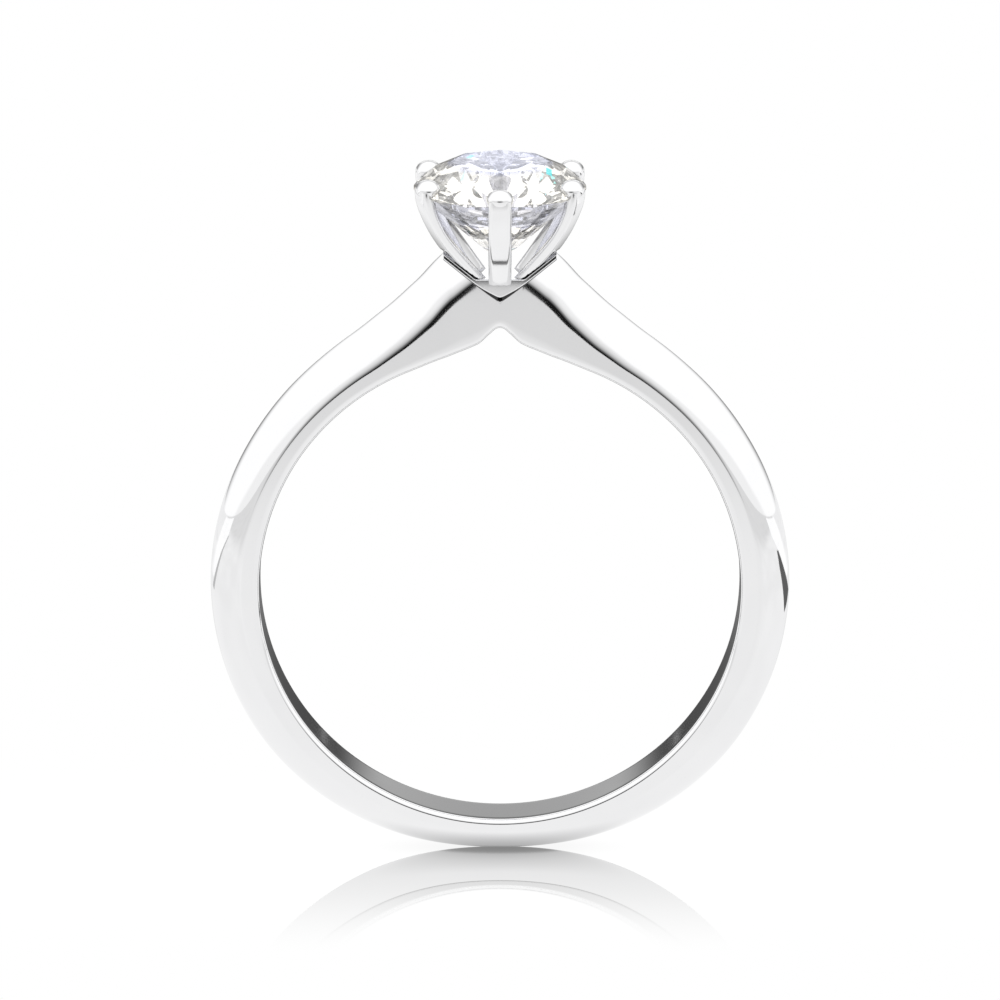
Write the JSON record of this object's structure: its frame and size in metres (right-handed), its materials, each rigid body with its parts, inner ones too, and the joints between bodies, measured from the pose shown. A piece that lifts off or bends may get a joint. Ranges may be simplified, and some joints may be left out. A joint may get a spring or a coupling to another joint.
{
  "type": "engagement ring",
  "caption": "Solitaire ring: a slim half-round shank sweeps up to a V saddle that carries a claw head holding a round brilliant stone.",
  "frame": {"origin": "centre of the finger hole, on the ring's middle plane", "axes": "+Y along the finger, +Z from the finger to the stone, +X to the viewer's right"},
  "size_m": [0.0204, 0.0066, 0.025],
  "materials": {
    "white_gold": "high polish, rhodium plated",
    "diamond": "polished facets"
  },
  "bodies": {
    "root": {"shank": "white_gold", "head_base": "white_gold", "claw_front": "white_gold", "claw_front_right": "white_gold", "claw_back_right": "white_gold", "claw_back": "white_gold", "claw_back_left": "white_gold", "claw_front_left": "white_gold", "stone": "diamond"}
  },
  "joints": []
}
